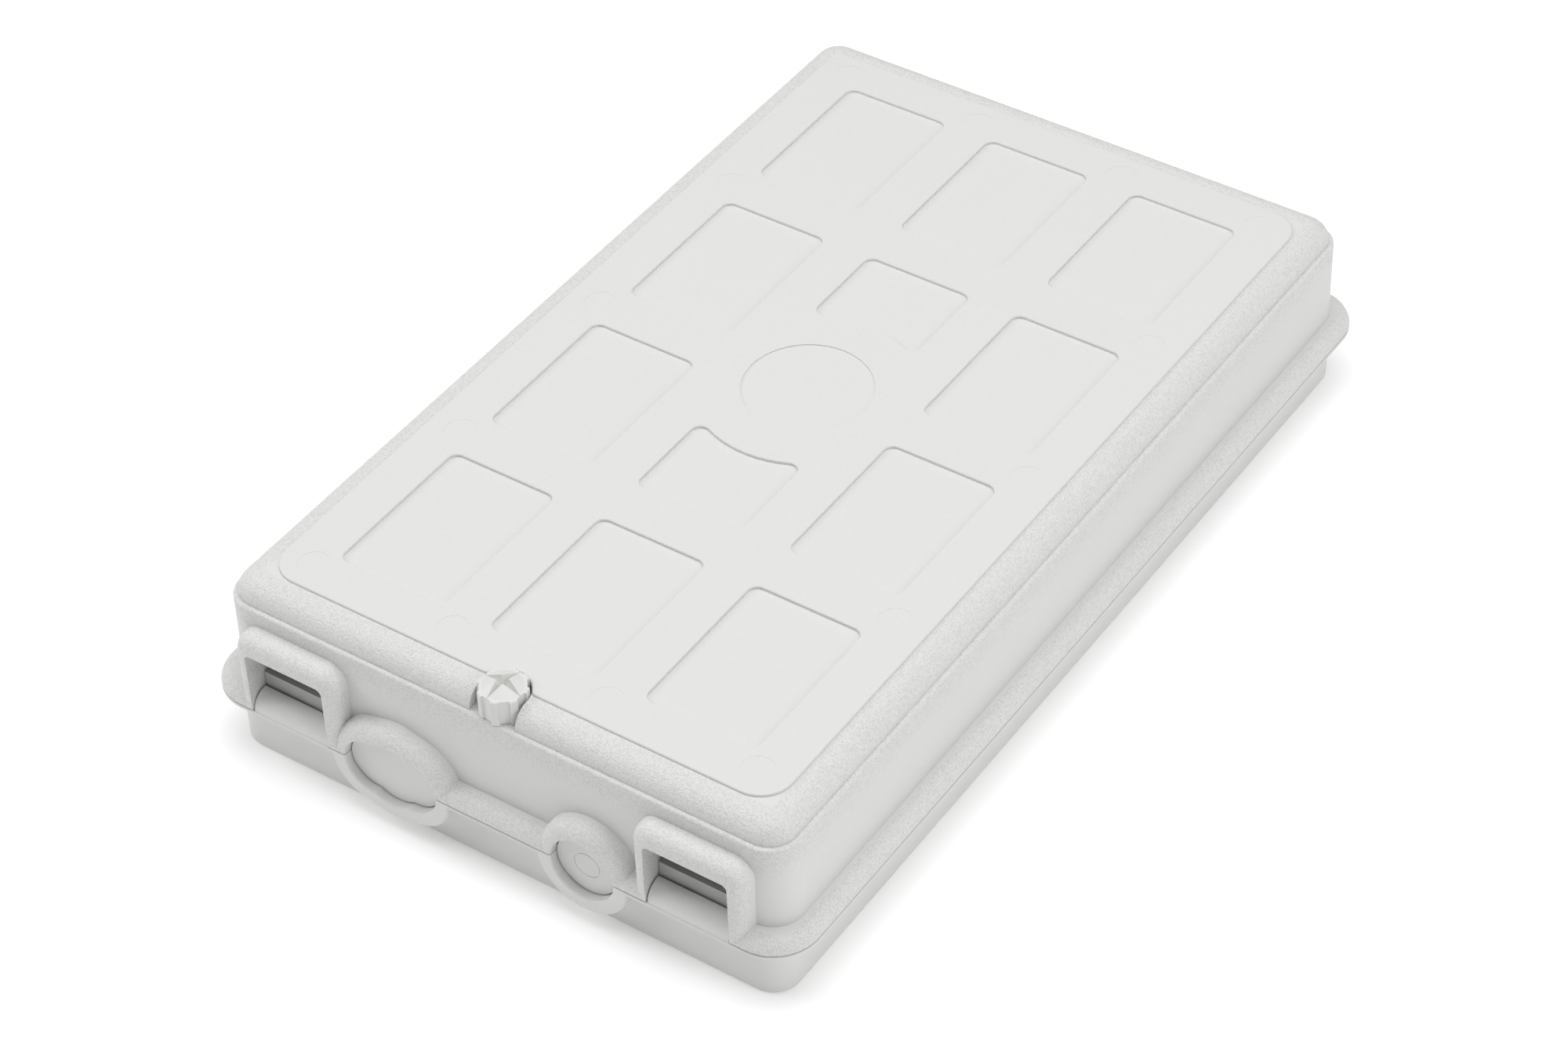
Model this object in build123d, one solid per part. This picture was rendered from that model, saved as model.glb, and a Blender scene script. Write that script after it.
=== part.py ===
from build123d import *
import os

# A wall-mount fibre termination box, lying on its back: x across, y from the cable
# ports (-y) to the lid's hinge (+y), z up out of the wall. Origin under the middle.

# ---- Driving dimensions, mm -------------------------------------------------------
PARTING_Z = 20.2            # plane where the lid meets the base
RIM_X, RIM_Y, RIM_R = 96.8, 155.7, 13.7          # half size and corner of the outline
RIM_THICK = 1.2
SHADOW_GAP = 0.18           # between the lid's flange and the base's rim

BASE_X, BASE_Y, BASE_R = 90.8, 150.5, 8.0
BASE_CAVITY_X, CAVITY_Y, BASE_CAVITY_R = 87.8, 146.9, 5.5
FLOOR_Z = 3.0

WALL_X, WALL_Y, WALL_R = 91.2, 149.6, 9.4        # lid wall at its foot
WALL_TAPER = 0.72                                 # degrees
LEDGE_Z = 51.9
LEDGE_X, LEDGE_Y, LEDGE_R = 89.4, 147.9, 8.0
SHOULDER_Z, SHOULDER_FILLET = 58.0, 5.9
PANEL_X, PANEL_Y, PANEL_R, PANEL_Z = 81.95, 139.7, 9.5, 58.8
CEILING_Z = 55.6
LID_CAVITY_X, LID_CAVITY_R = 88.2, 6.5
FLANGE_TOP_Z, FLANGE_FILLET = 24.4, 3.9

RECESS_COLUMNS, RECESS_ROWS = (-50.0, 0.0, 50.0), (-100.2, -33.4, 33.4, 100.2)
RECESS_WIDE, RECESS_LONG, RECESS_R = 35.0, 51.0, 3.0
RECESS_DEEP, RECESS_BEVEL = 0.95, 0.2
DISC_R, DISC_CLEAR_R, DISC_DEEP = 19.0, 32.2, 0.35
EJECTOR_R, EJECTOR_DEEP = 4.6, 0.06
EJECTOR_EDGE_X, EJECTOR_MID_X, EJECTOR_END_Y, EJECTOR_ROW_Y = 71.8, 25.0, 131.0, 66.6

HOOD_MID, HOOD_HALF, HOOD_TOP_Z = 65.3, 17.4, 46.8
HOOD_CORNER, HOOD_ROUND = 5.5, 4.0
WINDOW_HALF, WINDOW_TOP_Z, WINDOW_R = 13.1, 41.3, 1.8
SLOT_TOP_Z = 35.5
HOOK_RISE = 5.2              # crest of the snap hook above the parting plane
TAB_LOW_Z, TAB_HIGH_Z = 21.4, 26.5

SCREW_Y = -142.2
POCKET_R = 7.4
KNOB_FLAT, KNOB_REACH, KNOB_RIB, KNOB_RIBS, KNOB_TURN = 6.3, 7.05, 2.3, 8, -7.0
KNOB_FOOT_Z, KNOB_RIM_Z, KNOB_TIP_Z = 52.0, 60.1, 62.9
SHANK_R, SHANK_END_Z, SCREW_TRAVEL = 1.9, 12.0, 6.0
PILLAR_TOP_Z = 18.0
BOSS_END_Z = 40.0

PORT_Z = 20.0
SMALL_PORT = ((31.7, 10.0),)                      # (x, radius) of each round lobe
LARGE_PORT = ((-37.6, 9.0), (-31.4, 10.6), (-25.2, 9.0))
RING_BASE, RING_LID, RING_ROUND = 4.4, 4.7, 3.9
BLANK_FRONT_Y = -153.0
KEY_FRONT_Y, KEY_BACK_Y, KEY_HIGH = -149.0, -148.0, 0.8    # rib round each opening
LEAD_IN, BLANK_GAP = 0.4, 0.4

HINGE_Y, HINGE_Z = 153.2, 19.0
KNUCKLE_R, PIN_R = 2.5, 1.0

GROOVE_OUT, GROOVE_IN, GROOVE_DEEP = 0.8, 2.1, 1.5

TRAY_X, TRAY_NEAR_Y, TRAY_FAR_Y = 78.0, -22.0, 117.5
TRAY_FLOOR_Z, TRAY_TOP_Z, TRAY_WALL = 21.8, 30.0, 1.4
TRAY_PIVOT_Y, TRAY_PIVOT_Z, TRAY_PIN_R = 122.0, 24.0, 1.5
LUG_IN, LUG_OUT = 66.0, 69.5

CLAMP_Y, CLAMP_Z, CLAMP_SCREW = -126.0, 18.0, 13.0
STRENGTH_Y = -104.0
ADAPTER_Y, ADAPTER_Z, ADAPTER_PITCH, ADAPTERS = -80.0, 20.0, 16.6, 8
GUIDE_X, GUIDE_Y, GUIDE_R, GUIDE_TOP_Z, PEG_R = 42.0, 50.0, 31.6, 17.2, 1.6
FIXING_X, FIXING_Y, FIXING_HOLE_R = 76.0, 132.0, 2.6


# ---- Shapes used throughout -------------------------------------------------------
def block(x0, x1, y0, y1, z0, z1):
    """Box between two corners."""
    middle = Pos((x0 + x1) / 2, (y0 + y1) / 2, (z0 + z1) / 2)
    return middle * Box(x1 - x0, y1 - y0, z1 - z0)


def slab(half_x, half_y, radius, z0, z1, taper=0.0):
    """Upright prism on a rectangle with round corners, centred on the origin."""
    outline = RectangleRounded(2 * half_x, 2 * half_y, radius)
    return extrude(Pos(0, 0, z0) * outline, amount=z1 - z0, taper=taper)


def rod(radius, start, end):
    """Round bar between two points."""
    span = Vector(*end) - Vector(*start)
    ends = (Align.CENTER, Align.CENTER, Align.MIN)
    return Plane(origin=start, z_dir=span) * Cylinder(radius, span.length, align=ends)


def both_sides(shape):
    """A shape with its mirror image across the middle plane x = 0."""
    return shape + mirror(shape, about=Plane.YZ)


def port_prism(port, grow, y_front, y_back):
    """The round lobes of a cable port, widened by grow, between two depths."""
    outline = Sketch()
    for x, radius in port:
        outline += Pos(x, PORT_Z) * Circle(radius + grow)
    facing = Plane(origin=(0, y_back, 0), x_dir=(1, 0, 0), z_dir=(0, -1, 0))
    return extrude(facing * outline, amount=y_back - y_front)


def base_ring(port):
    """Lower half of the boss round a port, its lobes blended and its face edge rounded."""
    outline = Sketch()
    for x, radius in port:
        outline += Pos(x, PORT_Z) * Circle(radius + RING_BASE)
    if len(port) > 1:
        outline = fillet(outline.vertices().filter_by(lambda v: abs(v.Y - PORT_Z) > 5), 6.0)
    facing = Plane(origin=(0, -BASE_Y + 1, 0), x_dir=(1, 0, 0), z_dir=(0, -1, 0))
    boss = extrude(facing * outline, amount=RIM_Y - BASE_Y + 1)
    boss = fillet(boss.faces().sort_by(Axis.Y)[0].edges(), 0.6)
    return boss - block(-100, 100, -200, 0, PARTING_Z, 60)


def port_opening(port):
    """Cut for a port, leaving a low rib round it that keys the blank plate."""
    cut = port_prism(port, 0, -RIM_Y - 1, KEY_FRONT_Y)
    for x, radius in port:
        mouth = Plane(origin=(x, LEAD_IN - RIM_Y, PORT_Z), x_dir=(1, 0, 0), z_dir=(0, -1, 0))
        ends = (Align.CENTER, Align.CENTER, Align.MIN)
        cut += mouth * Cone(radius, radius + 2 * LEAD_IN, 2 * LEAD_IN, align=ends)
    cut += port_prism(port, -KEY_HIGH, KEY_FRONT_Y, KEY_BACK_Y)
    return cut + port_prism(port, 0, KEY_BACK_Y, -CAVITY_Y + 1)


def top_edges(solid):
    return solid.faces().sort_by(Axis.Z)[-1].edges()


def save(node, shape):
    shape.label = node
    export_step(shape, f"parts/{node}.step")


# ---- Lid shell ----------------------------------------------------------------------
def pocket():
    """Upright notch in the shoulder round the thumbscrew's knob."""
    outline = Pos(0, SCREW_Y) * Circle(POCKET_R)
    outline += Pos(0, SCREW_Y - POCKET_R) * Rectangle(2 * POCKET_R, 2 * POCKET_R)
    return extrude(Pos(0, 0, LEDGE_Z) * outline, amount=PANEL_Z - LEDGE_Z + 1)


def lid_body():
    """Wall, flange, ledge, rolled shoulder and raised panel, before any cut."""
    wall = slab(WALL_X, WALL_Y, WALL_R, PARTING_Z, LEDGE_Z, WALL_TAPER)
    wall = fillet(top_edges(wall), 0.9)
    flange = slab(RIM_X, RIM_Y, RIM_R, PARTING_Z, FLANGE_TOP_Z)
    flange = fillet(top_edges(flange), FLANGE_FILLET)
    shoulder = slab(LEDGE_X, LEDGE_Y, LEDGE_R, LEDGE_Z - 2, SHOULDER_Z)
    shoulder = fillet(top_edges(shoulder), SHOULDER_FILLET)
    panel = slab(PANEL_X, PANEL_Y, PANEL_R, SHOULDER_Z - 2, PANEL_Z) - pocket()
    lips = panel.edges().filter_by(Axis.Z).filter_by(lambda e: abs(e.center().X) < POCKET_R + 1)
    panel = fillet(lips.sort_by(Axis.Y)[:2], 1.8)
    panel = fillet(top_edges(panel), 0.55)
    return wall + flange + (shoulder - pocket()) + panel


def hood(end):
    """One rounded hood over a latch or hinge window; end is -1 near, +1 far."""
    x0, x1 = HOOD_MID - HOOD_HALF, HOOD_MID + HOOD_HALF
    shell = block(x0, x1, -RIM_Y, -CAVITY_Y - 0.5, PARTING_Z, HOOD_TOP_Z)
    corners = shell.edges().filter_by(Axis.Y).sort_by(Axis.Z)[-2:]
    shell = fillet(corners, HOOD_CORNER)
    front = shell.faces().sort_by(Axis.Y)[0].edges()
    rounded = [e for e in front if e.center().Z > PARTING_Z + 0.1]
    shell = fillet(rounded, HOOD_ROUND)
    return shell if end < 0 else mirror(shell, about=Plane.XZ)


def window(end, y_inner):
    """The rectangular window of a hood, open at the parting plane."""
    x0, x1 = HOOD_MID - WINDOW_HALF, HOOD_MID + WINDOW_HALF
    hole = block(x0, x1, -RIM_Y - 1, -y_inner, PARTING_Z - 1, WINDOW_TOP_Z)
    corners = hole.edges().filter_by(Axis.Y).sort_by(Axis.Z)[-2:]
    hole = fillet(corners, WINDOW_R)
    return hole if end < 0 else mirror(hole, about=Plane.XZ)


def recesses():
    """Shallow panels in rows round a plain disc; the middle two stop short of it."""
    cuts = []
    for x in RECESS_COLUMNS:
        for y in RECESS_ROWS:
            if x == 0 and abs(y) < DISC_CLEAR_R + RECESS_LONG / 2:
                outline = Pos(x, y) * Rectangle(RECESS_WIDE, RECESS_LONG)
                outline -= Circle(DISC_CLEAR_R)
                outline = fillet(outline.vertices(), RECESS_R)
            else:
                outline = Pos(x, y) * RectangleRounded(RECESS_WIDE, RECESS_LONG, RECESS_R)
            cuts.append(extrude(Pos(0, 0, PANEL_Z - RECESS_DEEP) * outline, amount=2))
            cuts.append(extrude(Pos(0, 0, PANEL_Z - RECESS_BEVEL) * outline, amount=0.5, taper=-45))
    cuts.append(rod(DISC_R, (0, 0, PANEL_Z - DISC_DEEP), (0, 0, PANEL_Z + 1)))
    return cuts


def ejector_marks():
    """Faint round witness marks of the mould's pins round the edge of the panel."""
    places = [(x, y) for x in (EJECTOR_MID_X, EJECTOR_EDGE_X) for y in (-EJECTOR_END_Y, EJECTOR_END_Y)]
    places += [(EJECTOR_EDGE_X, y) for y in (-EJECTOR_ROW_Y, 0, EJECTOR_ROW_Y)]
    marks = Part()
    for x, y in places:
        marks += rod(EJECTOR_R, (x, y, PANEL_Z - EJECTOR_DEEP), (x, y, PANEL_Z + 1))
    return both_sides(marks)


def lid_rings():
    """Upper halves of the rounded bosses round the two ports."""
    rings = []
    for port in (SMALL_PORT, LARGE_PORT):
        boss = port_prism(port[:1], RING_LID, -RIM_Y, -CAVITY_Y - 0.5)
        if len(port) > 1:
            facing = Plane(origin=(0, -CAVITY_Y - 0.5, 0), x_dir=(1, 0, 0), z_dir=(0, -1, 0))
            lobes = [Pos(x, PORT_Z) * Circle(r + RING_LID) for x, r in port]
            arch = make_hull(lobes[0].edges() + lobes[1].edges() + lobes[2].edges())
            boss = extrude(facing * arch, amount=RIM_Y - CAVITY_Y - 0.5)
        boss = fillet(boss.faces().sort_by(Axis.Y)[0].edges(), RING_ROUND)
        rings.append(boss - block(-100, 100, -200, 0, 0, PARTING_Z))
    return rings


def hinge_ears():
    """Lugs of the far hoods' side walls, round the hinge pins."""
    ears = []
    for inner, outer in ((HOOD_MID - HOOD_HALF, HOOD_MID - WINDOW_HALF),
                         (HOOD_MID + WINDOW_HALF, HOOD_MID + HOOD_HALF)):
        ear = rod(KNUCKLE_R, (inner, HINGE_Y, HINGE_Z), (outer, HINGE_Y, HINGE_Z))
        ear += block(inner, outer, HINGE_Y - KNUCKLE_R, RIM_Y, HINGE_Z, PARTING_Z + 1)
        ears.append(ear)
    return ears


def seal_rib():
    """Rib under the lid wall that presses on the gasket."""
    outer = slab(BASE_X - 1.0, BASE_Y - 1.0, BASE_R - 1.0, PARTING_Z - 0.5, PARTING_Z + 1)
    inner = slab(BASE_X - 1.9, BASE_Y - 1.9, BASE_R - 1.9, PARTING_Z - 1, PARTING_Z + 2)
    return outer - inner


def bar_rails():
    """Hooked rails inside the near wall that hold a snap bar's end tabs."""
    rails = Part()
    for side in (-1, 1):
        edge = HOOD_MID + side * (WINDOW_HALF + 3.1)
        inner = HOOD_MID + side * (WINDOW_HALF + 0.6)
        x0, x1 = sorted((edge, edge - side * 1.0))
        low, high = TAB_LOW_Z - 0.8, TAB_HIGH_Z + 1.1
        rails += block(x0, x1, -CAVITY_Y - 0.3, -143.5, low, high)
        x0, x1 = sorted((edge, inner))
        rails += block(x0, x1, -144.5, -143.5, low, high)
        rails += block(x0, x1, -CAVITY_Y - 0.3, -143.5, low, low + 0.6)
        rails += block(x0, x1, -CAVITY_Y - 0.3, -143.5, high - 0.8, high)
    return rails


def lid_shell():
    lid = lid_body()
    for end in (-1, 1):
        lid += both_sides(hood(end))
    for ring in lid_rings():
        lid += ring
    cavity = slab(LID_CAVITY_X, CAVITY_Y + 0.1, LID_CAVITY_R, 0, CEILING_Z)
    # The knob's pocket hangs in the cavity as a thin box.
    lining = block(-8.5, 8.5, -CAVITY_Y - 1, -133.7, LEDGE_Z - 2.2, CEILING_Z + 1)
    lid -= fillet(top_edges(cavity), 5.0) - lining
    for cut in recesses():
        lid -= cut
    lid -= ejector_marks()
    lid += seal_rib()
    # Boss that guides the thumbscrew, tied to the near wall by a web.
    lid += rod(4.6, (0, SCREW_Y, BOSS_END_Z), (0, SCREW_Y, LEDGE_Z))
    lid += block(-1.0, 1.0, -147.2, SCREW_Y + 1, BOSS_END_Z, LEDGE_Z)
    lid -= pocket()
    lid -= rod(SHANK_R + 0.3, (0, SCREW_Y, 0), (0, SCREW_Y, LEDGE_Z + 1))
    # Windows: the near pair go on through the wall as a slot for the snap bars.
    lid -= both_sides(window(-1, WALL_Y - 0.2)) + both_sides(window(1, WALL_Y - 0.2))
    x0, x1 = HOOD_MID - WINDOW_HALF, HOOD_MID + WINDOW_HALF
    lid -= both_sides(block(x0, x1, -RIM_Y - 1, -CAVITY_Y + 1, PARTING_Z - 1, SLOT_TOP_Z))
    lid += both_sides(bar_rails())
    for port in (SMALL_PORT, LARGE_PORT):
        lid -= port_opening(port)
    # The lid bears on the base's wall only, which leaves a fine shadow line at the rim.
    shadow_line = slab(RIM_X + 1, RIM_Y + 1, RIM_R, PARTING_Z - 0.1, PARTING_Z + SHADOW_GAP)
    lid -= shadow_line - slab(BASE_X + 0.5, BASE_Y + 0.5, BASE_R, 0, PARTING_Z + 1)
    for ear in hinge_ears():
        lid += both_sides(ear)
    pin_hole = rod(PIN_R + 0.04, (40, HINGE_Y, HINGE_Z), (90, HINGE_Y, HINGE_Z))
    return lid - both_sides(pin_hole)


# ---- Snap bars: slotted strips of the lid wall that the base's hooks catch ---------
def snap_bar():
    face_y = -WALL_Y + 0.3
    strip = Rectangle(2.0, 8.7, align=(Align.MIN, Align.MIN))
    profile = Pos(face_y, PARTING_Z + 1.2) * strip
    profile += Pos(face_y - 0.2, PARTING_Z + HOOK_RISE - 1.9) * Circle(0.9)
    profile += Pos(face_y + 1.0, PARTING_Z + 1.2) * Circle(1.0)
    half = WINDOW_HALF - 0.3
    bar = extrude(Plane.YZ.offset(HOOD_MID - half) * profile, amount=2 * half)
    tabs = WINDOW_HALF + 1.9
    tab_y = -CAVITY_Y + 0.1
    bar += block(HOOD_MID - half, HOOD_MID + half, face_y + 1.0, tab_y + 1.0, 24, TAB_HIGH_Z)
    return bar + block(HOOD_MID - tabs, HOOD_MID + tabs, tab_y, tab_y + 1.0, TAB_LOW_Z, TAB_HIGH_Z)


# ---- Thumbscrew ---------------------------------------------------------------------
def knob_groove():
    """One arm of the cross slot: a V that runs out at the rim."""
    sections = []
    for reach, half, bottom in ((0.0, 1.92, 59.2), (6.4, 1.8, 59.8)):
        top = Polyline((-half, 64.0), (half, 64.0), (0.0, bottom), (-half, 64.0))
        across = Plane(origin=(reach, 0, 0), x_dir=(0, 1, 0), z_dir=(1, 0, 0))
        sections.append(across * make_face(top))
    return loft(sections)


def thumbscrew_knob():
    grip = RegularPolygon(KNOB_FLAT, KNOB_RIBS, major_radius=False)
    rib_long = KNOB_REACH - KNOB_FLAT + 1
    for k in range(KNOB_RIBS):
        rib = Pos(KNOB_REACH - rib_long / 2, 0) * Rectangle(rib_long, KNOB_RIB)
        grip += Rot(0, 0, k * 360 / KNOB_RIBS) * rib
    grip = Rot(0, 0, 180 / KNOB_RIBS) * fillet(grip.vertices(), 0.25)
    knob = extrude(Pos(0, 0, KNOB_FOOT_Z) * grip, amount=KNOB_RIM_Z - KNOB_FOOT_Z)
    bevelled = rod(KNOB_REACH + 0.15, (0, 0, KNOB_FOOT_Z), (0, 0, KNOB_RIM_Z))
    knob &= chamfer(top_edges(bevelled), 0.4)
    cone = Cone(KNOB_FLAT - 0.7, 0.15, KNOB_TIP_Z - KNOB_RIM_Z,
                align=(Align.CENTER, Align.CENTER, Align.MIN))
    knob += Pos(0, 0, KNOB_RIM_Z) * cone
    for k in range(4):
        knob -= Rot(0, 0, 90 * k) * knob_groove()
    knob -= rod(4.8, (0, 0, KNOB_FOOT_Z - 1), (0, 0, KNOB_FOOT_Z + 0.8))
    knob -= rod(SHANK_R, (0, 0, KNOB_FOOT_Z - 1), (0, 0, KNOB_FOOT_Z + 5))
    return Pos(0, SCREW_Y, 0) * Rot(0, 0, KNOB_TURN) * knob


def thumbscrew_shank():
    """Steel shank: plain above, with a rolled thread shown as rings at its foot."""
    shank = rod(SHANK_R, (0, SCREW_Y, SHANK_END_Z + 1), (0, SCREW_Y, KNOB_FOOT_Z + 5))
    tip = Cone(SHANK_R - 0.7, SHANK_R, 1.0, align=(Align.CENTER, Align.CENTER, Align.MIN))
    shank += Pos(0, SCREW_Y, SHANK_END_Z) * tip
    for k in range(8):
        z = SHANK_END_Z + 1.6 + 1.5 * k
        groove = rod(SHANK_R + 1, (0, SCREW_Y, z), (0, SCREW_Y, z + 0.5))
        shank -= groove - rod(SHANK_R - 0.3, (0, SCREW_Y, z - 1), (0, SCREW_Y, z + 2))
    z = BOSS_END_Z - SCREW_TRAVEL
    seat = rod(SHANK_R + 1, (0, SCREW_Y, z - 0.8), (0, SCREW_Y, z))
    return shank - (seat - rod(SHANK_R - 0.4, (0, SCREW_Y, z - 2), (0, SCREW_Y, z + 2)))


def shank_clip():
    z = BOSS_END_Z - SCREW_TRAVEL
    ring = rod(3.6, (0, SCREW_Y, z - 0.75), (0, SCREW_Y, z - 0.05))
    ring -= rod(SHANK_R - 0.38, (0, SCREW_Y, z - 1), (0, SCREW_Y, z + 1))
    return ring - block(-1.1, 1.1, SCREW_Y, SCREW_Y + 5, z - 1, z + 1)


def knob_washer():
    ring = rod(4.5, (0, SCREW_Y, LEDGE_Z), (0, SCREW_Y, LEDGE_Z + 0.7))
    return ring - rod(SHANK_R + 0.15, (0, SCREW_Y, LEDGE_Z - 1), (0, SCREW_Y, LEDGE_Z + 2))


def screw_insert():
    insert = rod(2.9, (0, SCREW_Y, 8), (0, SCREW_Y, PILLAR_TOP_Z))
    return insert - rod(SHANK_R + 0.1, (0, SCREW_Y, 7), (0, SCREW_Y, PILLAR_TOP_Z + 1))


# ---- Base shell -----------------------------------------------------------------------
def peg_places():
    """Where each slack guide's two pegs go into the floor."""
    return GUIDE_Y - GUIDE_R + 4, GUIDE_Y + GUIDE_R - 4


def snap_hook():
    """Curled hook that rises from the rim in a near window and holds the snap bar."""
    y_tip, z_tip = -WALL_Y - 0.2, PARTING_Z + HOOK_RISE
    y_crown, y_root = y_tip - 0.7, -RIM_Y + 0.4
    reach, rise = y_crown - y_root, z_tip - PARTING_Z
    outer = EllipticalCenterArc((y_crown, PARTING_Z), reach, rise, 90, arc_size=90)
    inner = EllipticalCenterArc((y_crown, PARTING_Z), reach - 1.7, rise - 0.9, 90, arc_size=90)
    lip = Polyline(outer @ 0, (y_tip, z_tip - 0.1), (y_tip, z_tip - 0.9), inner @ 0)
    foot = Polyline(outer @ 1, (y_root, PARTING_Z - 0.6), (y_root + 1.7, PARTING_Z - 0.6), inner @ 1)
    profile = make_face(Curve() + [outer, lip, inner, foot])
    half = WINDOW_HALF - 0.45
    return extrude(Plane.YZ.offset(HOOD_MID - half) * profile, amount=2 * half)


def hinge_knuckle():
    """Barrel of the base in a far window, on a web from the wall."""
    x0, x1 = HOOD_MID - WINDOW_HALF + 0.5, HOOD_MID + WINDOW_HALF - 0.5
    barrel = rod(KNUCKLE_R, (x0, HINGE_Y, HINGE_Z), (x1, HINGE_Y, HINGE_Z))
    barrel += block(x0, x1, BASE_Y - 0.5, HINGE_Y, HINGE_Z - KNUCKLE_R, HINGE_Z)
    return barrel - rod(PIN_R, (x0 - 1, HINGE_Y, HINGE_Z), (x1 + 1, HINGE_Y, HINGE_Z))


def ear_pockets():
    cuts = []
    for inner, outer in ((HOOD_MID - HOOD_HALF, HOOD_MID - WINDOW_HALF),
                         (HOOD_MID + WINDOW_HALF, HOOD_MID + HOOD_HALF)):
        start, end = (inner - 0.5, HINGE_Y, HINGE_Z), (outer + 0.4, HINGE_Y, HINGE_Z)
        cuts.append(rod(KNUCKLE_R + 0.4, start, end))
    return cuts


def clamp_pedestal(x, trough):
    """Saddle on the floor under a cable clamp, with its two screw bosses."""
    seat = block(x - 16.5, x + 16.5, CLAMP_Y - 5, CLAMP_Y + 5, FLOOR_Z - 1, CLAMP_Z)
    seat -= rod(trough, (x, CLAMP_Y - 6, CLAMP_Z), (x, CLAMP_Y + 6, CLAMP_Z))
    for side in (-CLAMP_SCREW, CLAMP_SCREW):
        seat -= rod(1.25, (x + side, CLAMP_Y, 8), (x + side, CLAMP_Y, CLAMP_Z + 1))
    return seat


def port_positions():
    """Middle x and clamp radius of the large and the small port."""
    return ((LARGE_PORT[1][0], 8.0), (SMALL_PORT[0][0], 7.0))


def base_shell():
    base = slab(BASE_X, BASE_Y, BASE_R, 0, PARTING_Z)
    base = fillet(base.faces().sort_by(Axis.Z)[0].edges(), 1.0)
    rim = slab(RIM_X, RIM_Y, RIM_R, PARTING_Z - RIM_THICK, PARTING_Z)
    rim = fillet(rim.faces().sort_by(Axis.Z)[0].edges(), 0.3)
    base += fillet(top_edges(rim), 0.6)
    for port in (SMALL_PORT, LARGE_PORT):
        base += base_ring(port)
    # The rim stops short at the hinge end, where the lid's flange swings past it.
    base -= block(-100, 100, HINGE_Y - 1.6, RIM_Y + 1, 15, PARTING_Z + 1)
    base -= slab(BASE_CAVITY_X, CAVITY_Y, BASE_CAVITY_R, FLOOR_Z, PARTING_Z + 1)
    groove = slab(BASE_X - GROOVE_OUT, BASE_Y - GROOVE_OUT, BASE_R - GROOVE_OUT,
                  PARTING_Z - GROOVE_DEEP, PARTING_Z + 1)
    groove -= slab(BASE_X - GROOVE_IN, BASE_Y - GROOVE_IN, BASE_R - GROOVE_IN, 0, PARTING_Z + 2)
    base -= groove
    for x, radius in port_positions():
        base += clamp_pedestal(x, radius)
        base += block(x - 6, x + 6, STRENGTH_Y - 5, STRENGTH_Y + 5, FLOOR_Z - 1, 12)
        base -= rod(1.25, (x, STRENGTH_Y, 5), (x, STRENGTH_Y, 13))
    base += rod(4.5, (0, SCREW_Y, 1), (0, SCREW_Y, PILLAR_TOP_Z))
    base += block(-1.2, 1.2, -CAVITY_Y - 0.5, SCREW_Y, 1, PILLAR_TOP_Z)
    base -= rod(2.9, (0, SCREW_Y, 8), (0, SCREW_Y, PILLAR_TOP_Z + 1))
    base -= rod(2.0, (0, SCREW_Y, 5), (0, SCREW_Y, 9))
    base += both_sides(snap_hook())
    for port in (SMALL_PORT, LARGE_PORT):
        base -= port_opening(port)
    for cut in ear_pockets():
        base -= both_sides(cut)
    base += both_sides(hinge_knuckle())
    # Tray lugs and rests, adapter-panel bosses, fixing bosses and the earth-stud post.
    lug = block(LUG_IN, LUG_OUT, TRAY_PIVOT_Y - 3.5, TRAY_PIVOT_Y + 3.5, FLOOR_Z - 1, TRAY_PIVOT_Z)
    lug += rod(3.5, (LUG_IN, TRAY_PIVOT_Y, TRAY_PIVOT_Z), (LUG_OUT, TRAY_PIVOT_Y, TRAY_PIVOT_Z))
    lug -= rod(TRAY_PIN_R, (LUG_IN - 1, TRAY_PIVOT_Y, TRAY_PIVOT_Z),
               (LUG_OUT + 1, TRAY_PIVOT_Y, TRAY_PIVOT_Z))
    base += both_sides(lug)
    base += both_sides(rod(3.0, (60, TRAY_NEAR_Y + 6, 1), (60, TRAY_NEAR_Y + 6, TRAY_FLOOR_Z - 0.1)))
    for x in (-60, 0, 60):
        base += rod(3.5, (x, ADAPTER_Y + 6, 1), (x, ADAPTER_Y + 6, 6))
        base -= rod(1.25, (x, ADAPTER_Y + 6, 2), (x, ADAPTER_Y + 6, 7))
    base += rod(5.0, (70, STRENGTH_Y, 1), (70, STRENGTH_Y, 9))
    base -= rod(2.4, (70, STRENGTH_Y, 3), (70, STRENGTH_Y, 10))
    for x in (-GUIDE_X, GUIDE_X):
        for y in peg_places():
            base -= rod(PEG_R, (x, y, 1.0), (x, y, FLOOR_Z + 1))
    for x in (-FIXING_X, FIXING_X):
        for y in (-FIXING_Y, FIXING_Y):
            base += rod(6.0, (x, y, 1), (x, y, 5))
            base -= rod(FIXING_HOLE_R, (x, y, -1), (x, y, 6))
    return base


def lid_gasket():
    ring = slab(BASE_X - 0.9, BASE_Y - 0.9, BASE_R - 0.9, PARTING_Z - GROOVE_DEEP, PARTING_Z - 0.6)
    ring -= slab(BASE_X - 2.0, BASE_Y - 2.0, BASE_R - 2.0, 0, PARTING_Z + 1)
    for port in (SMALL_PORT, LARGE_PORT):
        ring -= port_prism(port, 0.3, -RIM_Y, -CAVITY_Y + 1)
    return ring


def hinge_pin():
    x0, x1 = HOOD_MID - HOOD_HALF + 0.3, HOOD_MID + HOOD_HALF - 0.3
    return rod(PIN_R, (x0, HINGE_Y, HINGE_Z), (x1, HINGE_Y, HINGE_Z))


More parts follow.
